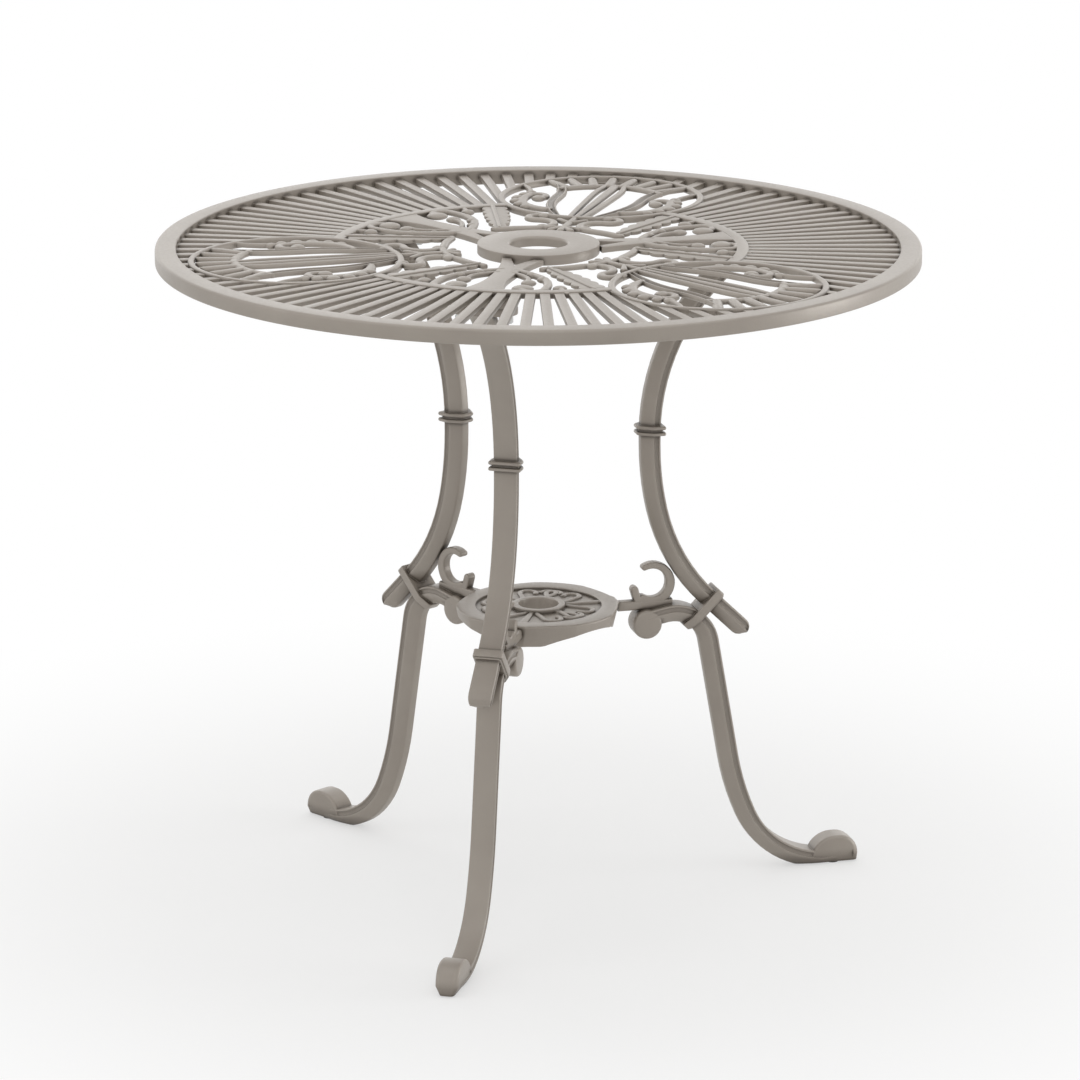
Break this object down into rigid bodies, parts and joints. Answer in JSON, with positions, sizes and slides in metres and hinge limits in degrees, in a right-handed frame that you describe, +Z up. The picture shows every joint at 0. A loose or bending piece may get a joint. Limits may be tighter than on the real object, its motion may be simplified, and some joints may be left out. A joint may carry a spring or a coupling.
{
  "type": "umbrella table",
  "caption": "Round openwork garden table on three scrolled legs, with a parasol hole through the top and a pole socket in the lower shelf.",
  "frame": {"origin": "on the floor, under the centre of the round top", "axes": "+Z up through the parasol hole; -Y towards the front leg; the other legs at 30 and 150 degrees from +X"},
  "size_m": [0.7999, 0.8, 0.71],
  "materials": {
    "powder_coated_casting": "taupe powder coat, satin, fine orange peel",
    "zinc_plated_steel": "bright zinc plate",
    "glide_plastic": "black polyethylene"
  },
  "bodies": {
    "root": {"tabletop": "powder_coated_casting", "leg_front": "powder_coated_casting", "leg_right": "powder_coated_casting", "leg_left": "powder_coated_casting", "shelf": "powder_coated_casting", "seat_bolts_front": "zinc_plated_steel", "seat_bolts_right": "zinc_plated_steel", "seat_bolts_left": "zinc_plated_steel", "seat_washers_front": "zinc_plated_steel", "seat_washers_right": "zinc_plated_steel", "seat_washers_left": "zinc_plated_steel", "seat_spring_washers_front": "zinc_plated_steel", "seat_spring_washers_right": "zinc_plated_steel", "seat_spring_washers_left": "zinc_plated_steel", "shelf_bolt_front": "zinc_plated_steel", "shelf_bolt_right": "zinc_plated_steel", "shelf_bolt_left": "zinc_plated_steel", "shelf_washer_front": "zinc_plated_steel", "shelf_washer_right": "zinc_plated_steel", "shelf_washer_left": "zinc_plated_steel", "shelf_spring_washer_front": "zinc_plated_steel", "shelf_spring_washer_right": "zinc_plated_steel", "shelf_spring_washer_left": "zinc_plated_steel", "foot_glide_front": "glide_plastic", "foot_glide_right": "glide_plastic", "foot_glide_left": "glide_plastic"}
  },
  "joints": []
}
